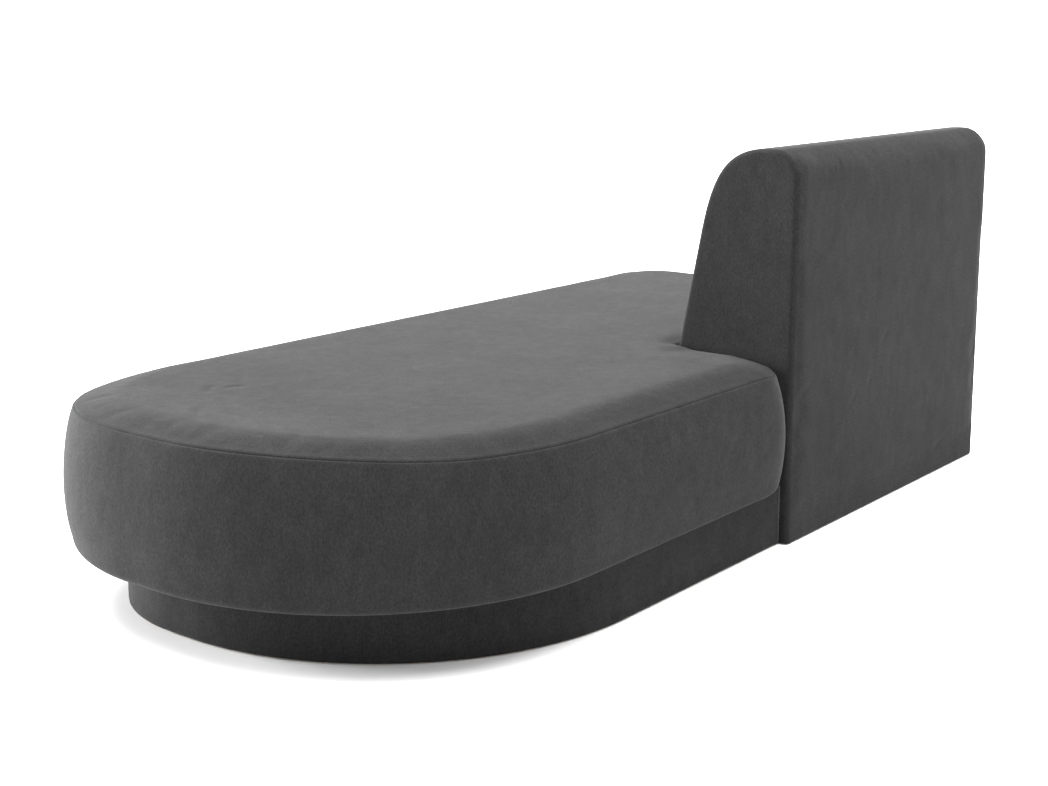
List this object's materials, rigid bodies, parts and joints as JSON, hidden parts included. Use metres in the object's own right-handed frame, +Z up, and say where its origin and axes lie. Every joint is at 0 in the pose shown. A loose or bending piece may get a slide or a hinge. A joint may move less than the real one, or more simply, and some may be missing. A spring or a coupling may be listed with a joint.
{
  "type": "daybed",
  "caption": "Upholstered daybed: long lounge seat with one rounded end on a recessed plinth, and a leaning backrest along part of its rear",
  "frame": {"origin": "on the floor, under the centre of the whole object's box", "axes": "+X runs along the seat from the backrest's end to the rounded lounge end, +Y to the rear, +Z up; the front faces -Y"},
  "size_m": [2.225, 1.078, 0.835],
  "materials": {
    "upholstery": "matte",
    "base_cloth": "matte",
    "webbing": "matte",
    "foam": "matte",
    "wadding": "matte",
    "plywood": "matte",
    "timber": "matte",
    "glides": "satin",
    "bolts": "satin"
  },
  "bodies": {
    "root": {"backrest_bolt_1": "bolts", "backrest_bolt_2": "bolts", "backrest_cover": "upholstery", "backrest_end_cover_1": "upholstery", "backrest_end_cover_2": "upholstery", "backrest_end_pad_1": "wadding", "backrest_end_pad_2": "wadding", "backrest_floor_board": "plywood", "backrest_front_foam": "foam", "backrest_front_panel": "plywood", "backrest_front_rail": "timber", "backrest_rear_panel": "plywood", "backrest_rib_1": "plywood", "backrest_rib_2": "plywood", "backrest_rib_3": "plywood", "backrest_top_foam": "foam", "backrest_top_rail": "timber", "glide_back_1": "glides", "glide_back_2": "glides", "glide_front_1": "glides", "glide_front_2": "glides", "glide_lounge": "glides", "glide_rear": "glides", "plinth_back_wall": "plywood", "plinth_corner_block": "timber", "plinth_cover": "upholstery", "plinth_cross_wall_1": "plywood", "plinth_cross_wall_2": "plywood", "plinth_front_wall": "plywood", "plinth_left_wall": "plywood", "plinth_lounge_wall_front": "plywood", "plinth_lounge_wall_rear": "plywood", "plinth_rear_wall": "plywood", "plinth_return_wall": "plywood", "seat_back_rail": "timber", "seat_base_cloth": "base_cloth", "seat_corner_block": "timber", "seat_cross_rail_1": "timber", "seat_cross_rail_2": "timber", "seat_edge_foam_front": "foam", "seat_edge_foam_left": "foam", "seat_edge_foam_lounge_front": "foam", "seat_edge_foam_lounge_rear": "foam", "seat_edge_foam_rear": "foam", "seat_foam": "foam", "seat_front_rail": "timber", "seat_left_rail": "timber", "seat_lounge_rail_front": "plywood", "seat_lounge_rail_rear": "plywood", "seat_rear_corner_block": "timber", "seat_rear_rail": "timber", "seat_return_rail": "timber", "seat_side_band": "upholstery", "seat_top_cover": "upholstery", "seat_topper": "wadding", "webbing_strap_1": "webbing", "webbing_strap_2": "webbing", "webbing_strap_3": "webbing", "webbing_strap_4": "webbing", "webbing_strap_5": "webbing"}
  },
  "joints": []
}
